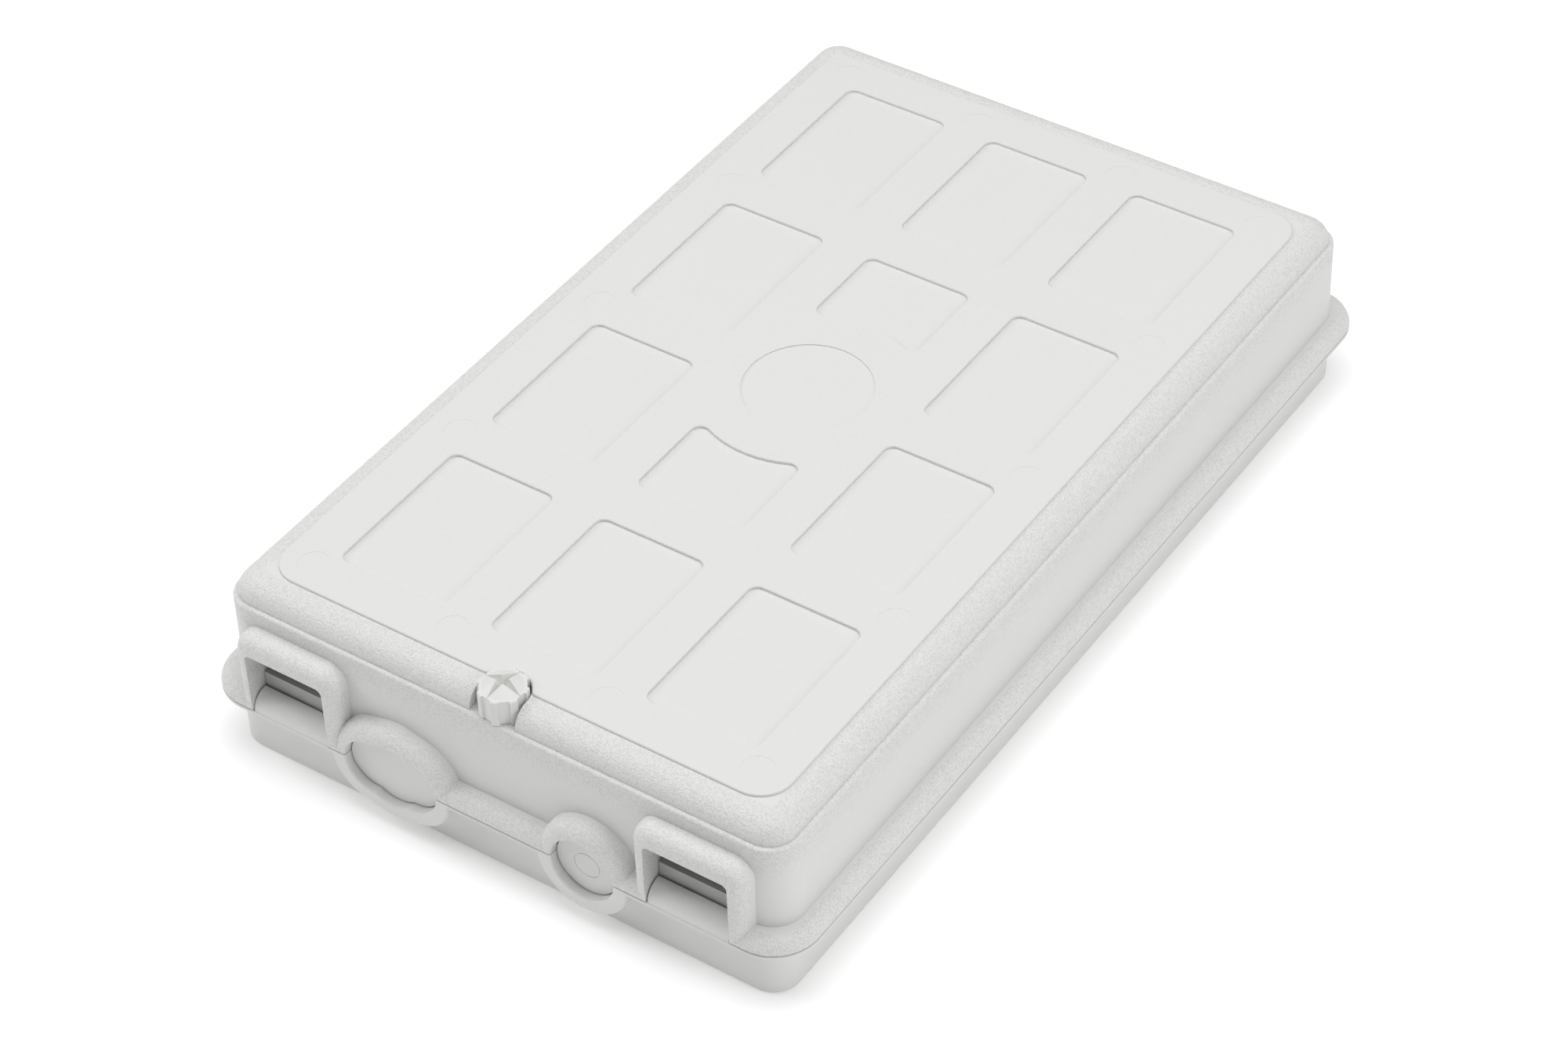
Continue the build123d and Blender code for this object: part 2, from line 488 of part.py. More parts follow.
def port_blank(port, mark):
    """Blank plate keyed on the opening's rib, with a sealing flange inside the wall."""
    plate = port_prism(port, -BLANK_GAP, BLANK_FRONT_Y, KEY_FRONT_Y - 0.15)
    plate += port_prism(port, -KEY_HIGH - 0.2, KEY_FRONT_Y - 0.15, KEY_BACK_Y + 0.15)
    plate += port_prism(port, -0.25, KEY_BACK_Y + 0.15, -CAVITY_Y + 0.15)
    plate += port_prism(port, 2.0, -CAVITY_Y + 0.15, -CAVITY_Y + 1.6)
    plate -= port_prism(port, -2.2, BLANK_FRONT_Y + 1.8, -CAVITY_Y + 2)
    if mark:
        x = port[0][0]
        ring = rod(4.1, (x, BLANK_FRONT_Y - 1, PORT_Z), (x, BLANK_FRONT_Y + 0.15, PORT_Z))
        plate -= ring - rod(3.9, (x, BLANK_FRONT_Y - 2, PORT_Z), (x, BLANK_FRONT_Y + 1, PORT_Z))
    return plate


# ---- Cable entry fittings ---------------------------------------------------------------
def cable_clamp(x, radius):
    strap = rod(radius + 1.6, (x, CLAMP_Y - 4, CLAMP_Z), (x, CLAMP_Y + 4, CLAMP_Z))
    strap += block(x - 16.5, x + 16.5, CLAMP_Y - 4, CLAMP_Y + 4, CLAMP_Z, CLAMP_Z + 1.6)
    strap -= rod(radius, (x, CLAMP_Y - 5, CLAMP_Z), (x, CLAMP_Y + 5, CLAMP_Z))
    strap -= block(x - 20, x + 20, CLAMP_Y - 6, CLAMP_Y + 6, 0, CLAMP_Z)
    for side in (-CLAMP_SCREW, CLAMP_SCREW):
        strap -= rod(1.8, (x + side, CLAMP_Y, 0), (x + side, CLAMP_Y, 40))
    return strap


def pan_screw(x, y, z_seat, length, shank=1.2, head=2.8):
    """Cross-recessed pan-head screw standing upright, its head's seat at z_seat."""
    screw = rod(shank, (x, y, z_seat - length), (x, y, z_seat))
    cap = rod(head, (x, y, z_seat), (x, y, z_seat + 1.9))
    cap = fillet(top_edges(cap), 1.0)
    cap -= block(x - 1.5, x + 1.5, y - 0.3, y + 0.3, z_seat + 1.0, z_seat + 3)
    cap -= block(x - 0.3, x + 0.3, y - 1.5, y + 1.5, z_seat + 1.0, z_seat + 3)
    return screw + cap


def clamp_screws():
    screws = []
    for x, _ in port_positions():
        for side in (-CLAMP_SCREW, CLAMP_SCREW):
            screws.append(pan_screw(x + side, CLAMP_Y, CLAMP_Z + 1.6, 9.5))
    return Compound(children=screws)


def strength_clamp(x):
    """Metal block that a cable's strength member is screwed down in."""
    body = block(x - 5, x + 5, STRENGTH_Y - 4, STRENGTH_Y + 4, 12, 19)
    body = chamfer(body.edges().filter_by(Axis.Z), 0.8)
    body -= rod(1.4, (x - 2.9, STRENGTH_Y - 6, 15.5), (x - 2.9, STRENGTH_Y + 6, 15.5))
    return body - rod(1.25, (x, STRENGTH_Y, 10), (x, STRENGTH_Y, 21))


def strength_screws():
    return Compound(children=[pan_screw(x, STRENGTH_Y, 19, 13) for x, _ in port_positions()])


def earth_stud():
    stud = rod(2.4, (70, STRENGTH_Y, 3), (70, STRENGTH_Y, 24))
    flange = Pos(70, STRENGTH_Y, 9) * extrude(RegularPolygon(5.0, 6), amount=3)
    return chamfer(top_edges(stud + flange), 0.5)


def earth_nut():
    washer = rod(5.2, (70, STRENGTH_Y, 12), (70, STRENGTH_Y, 13))
    nut = washer + Pos(70, STRENGTH_Y, 13) * extrude(RegularPolygon(4.8, 6), amount=3.8)
    return nut - rod(2.45, (70, STRENGTH_Y, 10), (70, STRENGTH_Y, 20))


# ---- Adapter field ------------------------------------------------------------------------
def adapter_places():
    first = -(ADAPTERS - 1) / 2 * ADAPTER_PITCH
    return [first + k * ADAPTER_PITCH for k in range(ADAPTERS)]


def adapter_panel():
    plate = block(-72, 72, ADAPTER_Y - 0.8, ADAPTER_Y + 0.8, 6, 33)
    plate += block(-72, 72, ADAPTER_Y - 0.8, ADAPTER_Y + 10, 6, 7.6)
    plate = fillet(plate.edges().filter_by(Axis.Y).sort_by(Axis.Z)[-2:], 3.0)
    for x in adapter_places():
        plate -= block(x - 6.5, x + 6.5, ADAPTER_Y - 2, ADAPTER_Y + 2, ADAPTER_Z - 4.8, ADAPTER_Z + 4.8)
    for x in (-60, 0, 60):
        plate -= rod(1.7, (x, ADAPTER_Y + 6, 0), (x, ADAPTER_Y + 6, 9))
    return plate


def adapter_panel_screws():
    return Compound(children=[pan_screw(x, ADAPTER_Y + 6, 7.6, 5.2) for x in (-60, 0, 60)])


def sc_adapter(x):
    """Square-bodied adapter snapped in the panel, its flange on the port side."""
    y_front = ADAPTER_Y - 13.5
    body = block(x - 6.4, x + 6.4, y_front, y_front + 27, ADAPTER_Z - 4.7, ADAPTER_Z + 4.7)
    body += block(x - 7.4, x + 7.4, ADAPTER_Y - 2.8, ADAPTER_Y - 0.8, ADAPTER_Z - 5.8, ADAPTER_Z + 5.8)
    for y0, y1 in ((y_front - 1, y_front + 11.5), (y_front + 15.5, y_front + 28)):
        body -= block(x - 4.9, x + 4.9, y0, y1, ADAPTER_Z - 3.6, ADAPTER_Z + 3.6)
    body -= block(x - 1.6, x + 1.6, y_front - 1, y_front + 5, ADAPTER_Z, ADAPTER_Z + 6)
    return body - rod(1.25, (x, y_front, ADAPTER_Z), (x, y_front + 27, ADAPTER_Z))


def dust_cap(x, side):
    """Soft plug for one mouth of an adapter; side is -1 front, +1 rear."""
    mouth = 13.5
    cap = block(x - 4.7, x + 4.7, mouth - 9, mouth, ADAPTER_Z - 3.4, ADAPTER_Z + 3.4)
    head = block(x - 5.6, x + 5.6, mouth, mouth + 3.5, ADAPTER_Z - 4.2, ADAPTER_Z + 4.2)
    cap += fillet(head.edges().filter_by(Axis.Y), 1.2)
    cap -= rod(1.6, (x, mouth - 10, ADAPTER_Z), (x, mouth + 1.5, ADAPTER_Z))
    if side < 0:
        cap = mirror(cap, about=Plane.XZ)
    return Pos(0, ADAPTER_Y, 0) * cap


# ---- Slack storage and splice tray ----------------------------------------------------------
def slack_guide(x):
    """Open ring on the floor that stores slack fibre without bending it tightly."""
    low, high = (x, GUIDE_Y, FLOOR_Z), (x, GUIDE_Y, GUIDE_TOP_Z)
    ring = rod(GUIDE_R, low, high) - rod(GUIDE_R - 1.6, low, (x, GUIDE_Y, GUIDE_TOP_Z + 1))
    foot = rod(GUIDE_R - 0.5, low, (x, GUIDE_Y, FLOOR_Z + 1.2))
    foot -= rod(GUIDE_R - 8, (x, GUIDE_Y, 0), (x, GUIDE_Y, 9))
    ring += foot
    for k in range(4):
        tab = block(GUIDE_R - 1, GUIDE_R + 3.4, -4, 4, GUIDE_TOP_Z - 1.2, GUIDE_TOP_Z)
        ring += Pos(x, GUIDE_Y, 0) * Rot(0, 0, 45 + 90 * k) * tab
    for k in range(4):
        gap = block(GUIDE_R - 4, GUIDE_R + 4, -5, 5, FLOOR_Z + 3, GUIDE_TOP_Z + 1)
        ring -= Pos(x, GUIDE_Y, 0) * Rot(0, 0, 90 * k) * gap
    for y in peg_places():
        ring += rod(PEG_R, (x, y, 1.0), (x, y, FLOOR_Z + 1))
    return ring


def splice_tray():
    mid_y = (TRAY_NEAR_Y + TRAY_FAR_Y) / 2
    long_half = (TRAY_FAR_Y - TRAY_NEAR_Y) / 2
    tray = slab(TRAY_X, long_half, 6, TRAY_FLOOR_Z, TRAY_TOP_Z)
    tray -= slab(TRAY_X - TRAY_WALL, long_half - TRAY_WALL, 4.6, TRAY_FLOOR_Z + TRAY_WALL, TRAY_TOP_Z + 1)
    tray = Pos(0, mid_y, 0) * tray
    # Fibre gates in the near corners and islands that keep the bend radius.
    gate = block(TRAY_X - 22, TRAY_X - 8, TRAY_NEAR_Y - 1, TRAY_NEAR_Y + 3, TRAY_FLOOR_Z + 4, TRAY_TOP_Z + 1)
    tray -= both_sides(gate)
    island = rod(24, (43, mid_y, TRAY_FLOOR_Z + 1), (43, mid_y, TRAY_TOP_Z - 1))
    island -= rod(22.6, (43, mid_y, TRAY_FLOOR_Z), (43, mid_y, TRAY_TOP_Z + 1))
    for k in range(4):
        notch = block(20, 26, -4, 4, TRAY_FLOOR_Z + TRAY_WALL, TRAY_TOP_Z + 1)
        island -= Pos(43, mid_y, 0) * Rot(0, 0, 90 * k) * notch
    tray += both_sides(island)
    ear = rod(3.2, (LUG_OUT + 0.5, TRAY_PIVOT_Y, TRAY_PIVOT_Z), (LUG_OUT + 4.5, TRAY_PIVOT_Y, TRAY_PIVOT_Z))
    ear += block(LUG_OUT + 0.5, LUG_OUT + 4.5, TRAY_FAR_Y - 8, TRAY_PIVOT_Y, TRAY_FLOOR_Z, TRAY_PIVOT_Z + 3.2)
    ear -= block(0, TRAY_X - TRAY_WALL, 0, TRAY_FAR_Y - TRAY_WALL, TRAY_FLOOR_Z + TRAY_WALL, 40)
    ear -= rod(TRAY_PIN_R + 0.05, (60, TRAY_PIVOT_Y, TRAY_PIVOT_Z), (80, TRAY_PIVOT_Y, TRAY_PIVOT_Z))
    return tray + both_sides(ear)


def tray_cover():
    mid_y = (TRAY_NEAR_Y + TRAY_FAR_Y) / 2
    long_half = (TRAY_FAR_Y - TRAY_NEAR_Y) / 2
    sheet = slab(TRAY_X, long_half, 6, TRAY_TOP_Z, TRAY_TOP_Z + 1.2)
    lip = slab(TRAY_X - 1.7, long_half - 1.7, 4.3, TRAY_TOP_Z - 1.0, TRAY_TOP_Z)
    lip -= slab(TRAY_X - 2.9, long_half - 2.9, 3.1, 0, TRAY_TOP_Z)
    cover = Pos(0, mid_y, 0) * (sheet + lip)
    return cover - rod(9, (0, TRAY_NEAR_Y, 0), (0, TRAY_NEAR_Y, 40))


def splice_holder(y):
    """Comb whose slots grip the splice protectors, lying across the tray."""
    low = TRAY_FLOOR_Z + TRAY_WALL
    comb = block(-16, 16, y - 13, y + 13, low, low + 1.0)
    for k in range(7):
        rib_y = y - 12.4 + k * 4.133
        comb += block(-16, 16, rib_y - 0.6, rib_y + 0.6, low, low + 5.0)
    return comb - block(-3, 3, y - 20, y + 20, low + 1.0, low + 9)


def tray_hinge_pin():
    return rod(TRAY_PIN_R, (-LUG_OUT - 5.0, TRAY_PIVOT_Y, TRAY_PIVOT_Z),
               (LUG_OUT + 5.0, TRAY_PIVOT_Y, TRAY_PIVOT_Z))


# ---- Write every piece ------------------------------------------------------------------------
os.makedirs("parts", exist_ok=True)

save("lid_shell", lid_shell())
save("base_shell", base_shell())
save("lid_gasket", lid_gasket())
for side, turned in (("right", 1), ("left", -1)):
    flip = (lambda shape: shape) if turned > 0 else (lambda shape: mirror(shape, about=Plane.YZ))
    save(f"snap_bar_{side}", flip(snap_bar()))
    save(f"hinge_pin_{side}", flip(hinge_pin()))
    save(f"slack_guide_{side}", slack_guide(turned * GUIDE_X))
save("port_blank_large", port_blank(LARGE_PORT, mark=False))
save("port_blank_small", port_blank(SMALL_PORT, mark=True))
save("thumbscrew_knob", thumbscrew_knob())
save("thumbscrew_shank", thumbscrew_shank())
save("shank_clip", shank_clip())
save("knob_washer", knob_washer())
save("screw_insert", screw_insert())
for size, (x, radius) in zip(("large", "small"), port_positions()):
    save(f"cable_clamp_{size}", cable_clamp(x, radius))
    save(f"strength_clamp_{size}", strength_clamp(x))
save("cable_clamp_screws", clamp_screws())
save("strength_clamp_screws", strength_screws())
save("earth_stud", earth_stud())
save("earth_nut", earth_nut())
save("adapter_panel", adapter_panel())
save("adapter_panel_screws", adapter_panel_screws())
for number, x in enumerate(adapter_places(), start=1):
    save(f"sc_adapter_{number}", sc_adapter(x))
    save(f"dust_cap_front_{number}", dust_cap(x, -1))
    save(f"dust_cap_rear_{number}", dust_cap(x, 1))
save("splice_tray", splice_tray())
save("tray_cover", tray_cover())
tray_middle = (TRAY_NEAR_Y + TRAY_FAR_Y) / 2
save("splice_holder_front", splice_holder(tray_middle - 42))
save("splice_holder_rear", splice_holder(tray_middle + 42))
save("tray_hinge_pin", tray_hinge_pin())
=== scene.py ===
import math

import bmesh
import bpy
from mathutils import Matrix, Vector


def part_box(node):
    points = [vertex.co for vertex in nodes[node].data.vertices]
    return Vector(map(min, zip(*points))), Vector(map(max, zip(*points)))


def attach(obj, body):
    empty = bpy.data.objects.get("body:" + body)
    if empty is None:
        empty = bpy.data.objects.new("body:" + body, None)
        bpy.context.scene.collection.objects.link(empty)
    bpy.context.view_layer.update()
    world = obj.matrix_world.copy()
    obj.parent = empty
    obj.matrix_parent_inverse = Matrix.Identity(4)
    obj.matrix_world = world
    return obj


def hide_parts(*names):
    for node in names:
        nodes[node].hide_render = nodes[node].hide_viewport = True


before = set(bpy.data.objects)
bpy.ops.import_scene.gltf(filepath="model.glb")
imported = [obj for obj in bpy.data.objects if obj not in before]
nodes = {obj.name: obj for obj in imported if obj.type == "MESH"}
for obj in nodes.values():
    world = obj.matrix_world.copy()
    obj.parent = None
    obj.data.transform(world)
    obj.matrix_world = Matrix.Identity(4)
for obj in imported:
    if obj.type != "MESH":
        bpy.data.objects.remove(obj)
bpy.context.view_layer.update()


# Base shell: a shallow injection-moulded tray, open at the top, screwed to the wall
# through its floor. Its rim, port bosses, snap hooks and hinge barrels are moulded on.
# The mould is spark-eroded, so the rims have a leathery grain and the walls a faint one.

def new_material(name):
    material = bpy.data.materials.new(name)
    material.use_nodes = True
    tree = material.node_tree
    return material, tree, tree.nodes["Principled BSDF"]


def add_node(tree, kind, inputs=(), **settings):
    node = tree.nodes.new(kind)
    for key, value in settings.items():
        setattr(node, key, value)
    for key, value in dict(inputs).items():
        if isinstance(value, bpy.types.NodeSocket):
            tree.links.new(value, node.inputs[key])
        else:
            node.inputs[key].default_value = value
    return node


def calculate(tree, operation, *values):
    """A Math node's result from sockets or numbers."""
    return add_node(tree, "ShaderNodeMath", enumerate(values), operation=operation).outputs[0]


def step_up(tree, value, low, high):
    """0 below low, 1 above high, smooth between. It steps down where low is the larger."""
    limits = {"Value": value, "From Min": low, "From Max": high}
    return add_node(tree, "ShaderNodeMapRange", limits, interpolation_type="SMOOTHSTEP").outputs[0]


def mix_colors(tree, factor, first, second):
    node = add_node(tree, "ShaderNodeMix", data_type="RGBA")
    for socket, value in ((0, factor), (6, first), (7, second)):
        if isinstance(value, bpy.types.NodeSocket):
            tree.links.new(value, node.inputs[socket])
        else:
            node.inputs[socket].default_value = value
    return node.outputs[2]


def shade(color, factor):
    return tuple(min(1.0, channel * factor) for channel in color) + (1.0,)


def bump(tree, shader, height, strength, distance):
    node = add_node(tree, "ShaderNodeBump",
                    {"Height": height, "Strength": strength, "Distance": distance})
    tree.links.new(node.outputs[0], shader.inputs["Normal"])


PEBBLE, GRAIN_DEPTH, GRAIN_GLOSS, GLOSS_SPREAD = 0.00054, 0.00024, 0.46, 0.12
PEBBLE_SOFTNESS, PEBBLE_SHARE, FINE_SCALE, CLOUD_SCALE = 0.7, -0.6, 1.3 / PEBBLE, 28
PIT_BOTTOM, PIT_TOP, PIT_SHARE = 0.02, 0.34, 0.58
# The last tint on this line and the sizes on the next draw a thin band of painted shade on a
# foot's side, for the shadow of its joint.
CLOUD_TINTS, CREST_TINT, PIT_TINT, PARTING_SHADE_TINT = (0.992, 1.006), 1.06, 0.83, 0.30
PARTING_SHADE_LOW, PARTING_SHADE_HIGH, PARTING_SHADE_EDGE = 0.00002, 0.00022, 0.00006


def leathery_plastic(name, color, grain_over, gloss=GRAIN_GLOSS, foot_z=None):
    """Spark-eroded moulded plastic: pale pebbles with darker pits between them.
    grain_over(tree, place) gives the grain's strength, 0 to 1, at each point, and foot_z
    is the bottom of a foot whose side gets a thin band of painted shade just above its joint,
    standing in for the parting gap's shadow."""
    material, tree, shader = new_material(name)
    place = add_node(tree, "ShaderNodeTexCoord").outputs["Object"]
    pebbles = add_node(tree, "ShaderNodeTexVoronoi",
                       {"Vector": place, "Scale": 1 / PEBBLE, "Smoothness": PEBBLE_SOFTNESS},
                       feature="SMOOTH_F1").outputs["Distance"]
    fine = add_node(tree, "ShaderNodeTexNoise",
                    {"Vector": place, "Scale": FINE_SCALE, "Detail": 4}).outputs["Fac"]
    clouds = add_node(tree, "ShaderNodeTexNoise",
                      {"Vector": place, "Scale": CLOUD_SCALE, "Detail": 3}).outputs["Fac"]
    height = calculate(tree, "MULTIPLY_ADD", pebbles, PEBBLE_SHARE, fine)
    strength = grain_over(tree, place)
    bump(tree, shader, height, strength, GRAIN_DEPTH)
    pits = calculate(tree, "SUBTRACT", 1.0, step_up(tree, height, PIT_BOTTOM, PIT_TOP))
    pits = calculate(tree, "MULTIPLY", pits, strength)
    pits = calculate(tree, "MULTIPLY", pits, PIT_SHARE)
    patches = mix_colors(tree, clouds, *[shade(color, tint) for tint in CLOUD_TINTS])
    crests = mix_colors(tree, strength, patches, shade(color, CREST_TINT))
    surface = mix_colors(tree, pits, crests, shade(color, PIT_TINT))
    if foot_z:
        # Painted shade: a thin dark band on the foot's side just above its sole, standing in for
        # the shadow of the parting gap.
        z = add_node(tree, "ShaderNodeSeparateXYZ", {0: place}).outputs[2]
        above_sole = step_up(tree, z, foot_z + PARTING_SHADE_LOW, foot_z + 2 * PARTING_SHADE_LOW)
        below_top = step_up(tree, z, foot_z + PARTING_SHADE_HIGH + PARTING_SHADE_EDGE,
                            foot_z + PARTING_SHADE_HIGH - PARTING_SHADE_EDGE)
        painted_parting_shade = calculate(tree, "MULTIPLY", above_sole, below_top)
        surface = mix_colors(tree, painted_parting_shade, surface, shade(color, PARTING_SHADE_TINT))
    tree.links.new(surface, shader.inputs["Base Color"])
    rough = calculate(tree, "MULTIPLY_ADD", fine, GLOSS_SPREAD, gloss)
    tree.links.new(rough, shader.inputs["Roughness"])
    shader.inputs["Specular IOR Level"].default_value = 0.4
    return material


def paint(material, *names):
    """Give CAD nodes their material."""
    for name in names:
        nodes[name].data.materials.clear()
        nodes[name].data.materials.append(material)


SHELL_COLOR = (0.70, 0.70, 0.69)
BOSS_FROM_Y, BOSS_FACE_Y = 0.1515, 0.1537
WALL_GRAIN, BOSS_GRAIN = 0.06, 0.21


def base_grain(tree, place):
    """Deeper on the face of the port bosses than on the plain walls."""
    y = add_node(tree, "ShaderNodeSeparateXYZ", {0: place}).outputs[1]
    proud = step_up(tree, calculate(tree, "ABSOLUTE", y), BOSS_FROM_Y, BOSS_FACE_Y)
    return calculate(tree, "MULTIPLY_ADD", proud, BOSS_GRAIN - WALL_GRAIN, WALL_GRAIN)


base_plastic = leathery_plastic("base_plastic", SHELL_COLOR, base_grain)
paint(base_plastic, "base_shell")


# Screw insert: a turned brass bush, heat-set in the near pillar, that takes the
# thumbscrew. Turning leaves fine rings round its bore on the end face.

SCREW_Y = -0.1422
BRASS_COLOR, BRASS_TINTS, BRASS_GLOSS = (0.78, 0.58, 0.28), (0.82, 1.08), 0.26
RING_SCALE, RING_DEPTH = 312.5, 0.00001  # this scale puts the rings a millimetre apart
SMEAR_SCALE, SMEAR_DULLS = 260, 0.2

brass, tree, shader = new_material("turned_brass")
place = add_node(tree, "ShaderNodeTexCoord").outputs["Object"]
centred = add_node(tree, "ShaderNodeMapping", {"Vector": place, "Location": (0, -SCREW_Y, 0)})
rings = add_node(tree, "ShaderNodeTexWave",
                 {"Vector": centred.outputs[0], "Scale": RING_SCALE,
                  "Distortion": 0.4, "Detail": 1},
                 wave_type="RINGS", rings_direction="Z")
smear = add_node(tree, "ShaderNodeTexNoise",
                 {"Vector": place, "Scale": SMEAR_SCALE, "Detail": 4}).outputs["Fac"]
bump(tree, shader, rings.outputs["Fac"], 0.3, RING_DEPTH)
worn = mix_colors(tree, smear, *[shade(BRASS_COLOR, tint) for tint in BRASS_TINTS])
tree.links.new(worn, shader.inputs["Base Color"])
rough = calculate(tree, "MULTIPLY_ADD", smear, SMEAR_DULLS, BRASS_GLOSS)
tree.links.new(rough, shader.inputs["Roughness"])
shader.inputs["Metallic"].default_value = 1.0
paint(brass, "screw_insert")


# Cable clamps, strength-member blocks, earth stud and screws: pressed and turned steel,
# zinc plated, so bright with faint cloudy bloom and a slight yellow cast from the
# passivation. The straps are screwed down on the moulded saddles.

ZINC_DULL, ZINC_BRIGHT = (0.5544, 0.5544, 0.546, 1), (0.7128, 0.693, 0.637, 1)
ZINC_GLOSS, BLOOM_SCALE, BLOOM_DULLS = 0.30, 420, 0.22
LINE_SCALE, LINE_STRETCH, LINE_DEPTH = 300, (1, 14, 14), 0.00001

zinc, tree, shader = new_material("zinc_plated_steel")
place = add_node(tree, "ShaderNodeTexCoord").outputs["Object"]
bloom = add_node(tree, "ShaderNodeTexNoise",
                 {"Vector": place, "Scale": BLOOM_SCALE, "Detail": 5}).outputs["Fac"]
drawn = add_node(tree, "ShaderNodeMapping", {"Vector": place, "Scale": LINE_STRETCH})
lines = add_node(tree, "ShaderNodeTexNoise",
                 {"Vector": drawn.outputs[0], "Scale": LINE_SCALE, "Detail": 3}).outputs["Fac"]
tree.links.new(mix_colors(tree, bloom, ZINC_DULL, ZINC_BRIGHT), shader.inputs["Base Color"])
rough = calculate(tree, "MULTIPLY_ADD", bloom, BLOOM_DULLS, ZINC_GLOSS)
tree.links.new(rough, shader.inputs["Roughness"])
bump(tree, shader, lines, 0.25, LINE_DEPTH)
shader.inputs["Metallic"].default_value = 1.0
paint(zinc, "cable_clamp_large", "cable_clamp_small", "cable_clamp_screws", "strength_clamp_large",
      "strength_clamp_small", "strength_clamp_screws", "earth_stud", "earth_nut")


# Gasket: a closed-cell foam-rubber cord, laid in the groove of the base and left open
# at the two ports, where the blanks seal. Its skin is dull with tiny burst cells.

DUST_SCALE, DUST_STARTS, DUST_FULL, DUST_TINT = 180, 0.4, 0.75, 1.9
RUBBER_GLOSS, CELL_DULLS = 0.72, 0.2


def foam_rubber(name, color, cell, depth):
    """Dull rubber with burst cells, a cell wide and depth deep, and patches of pale dust."""
    material, tree, shader = new_material(name)
    place = add_node(tree, "ShaderNodeTexCoord").outputs["Object"]
    bubbles = add_node(tree, "ShaderNodeTexVoronoi",
                       {"Vector": place, "Scale": 1 / cell}).outputs["Distance"]
    dust = add_node(tree, "ShaderNodeTexNoise",
                    {"Vector": place, "Scale": DUST_SCALE, "Detail": 5}).outputs["Fac"]
    bump(tree, shader, bubbles, 0.9, depth)
    dusty = step_up(tree, dust, DUST_STARTS, DUST_FULL)
    bloomed = mix_colors(tree, dusty, shade(color, 1), shade(color, DUST_TINT))
    tree.links.new(bloomed, shader.inputs["Base Color"])
    rough = calculate(tree, "MULTIPLY_ADD", bubbles, CELL_DULLS, RUBBER_GLOSS)
    tree.links.new(rough, shader.inputs["Roughness"])
    shader.inputs["Specular IOR Level"].default_value = 0.25
    return material


gasket_foam = foam_rubber("gasket_foam", (0.022, 0.022, 0.024), cell=0.00022, depth=0.00004)
paint(gasket_foam, "lid_gasket")


# Adapter panel: an upright moulded plate with eight openings, screwed to three bosses.
# The plain interior mouldings share one grey plastic with a fine satin mould texture.

SPECK, SPECK_DULLS, FLOW_SCALE, FLOW_TINTS = 0.00030, 0.12, 22, (0.95, 1.04)


def satin_plastic(name, color, gloss, depth):
    """Moulded plastic with fine specks, depth deep, and faint streaks where it flowed."""
    material, tree, shader = new_material(name)
    place = add_node(tree, "ShaderNodeTexCoord").outputs["Object"]
    specks = add_node(tree, "ShaderNodeTexNoise",
                      {"Vector": place, "Scale": 1 / SPECK, "Detail": 3}).outputs["Fac"]
    flow = add_node(tree, "ShaderNodeTexNoise",
                    {"Vector": place, "Scale": FLOW_SCALE, "Detail": 3}).outputs["Fac"]
    bump(tree, shader, specks, 0.8, depth)
    streaked = mix_colors(tree, flow, *[shade(color, tint) for tint in FLOW_TINTS])
    tree.links.new(streaked, shader.inputs["Base Color"])
    rough = calculate(tree, "MULTIPLY_ADD", specks, SPECK_DULLS, gloss)
    tree.links.new(rough, shader.inputs["Roughness"])
    return material


tray_plastic = satin_plastic("tray_plastic", (0.53, 0.54, 0.54), gloss=0.38, depth=0.000012)
paint(tray_plastic, "adapter_panel")
paint(zinc, "adapter_panel_screws")


# Adapters: eight blue square-bodied couplers snapped into the panel from the port side.
# A springy steel clip straddles each body behind the panel and barbs out to hold it.

ADAPTER_NUMBERS = range(1, 9)
ADAPTER_BLUE = (0.015, 0.16, 0.48)
adapter_plastic = satin_plastic("adapter_plastic", ADAPTER_BLUE, gloss=0.22, depth=0.000006)
paint(adapter_plastic, *[f"sc_adapter_{number}" for number in ADAPTER_NUMBERS])


def make_piece(name, mesh, material, body):
    """Turn a finished bmesh into an object at the origin that rides on a body."""
    data = bpy.data.meshes.new(name)
    mesh.to_mesh(data)
    mesh.free()
    data.materials.append(material)
    piece = bpy.data.objects.new(name, data)
    bpy.context.scene.collection.objects.link(piece)
    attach(piece, body)
    return piece


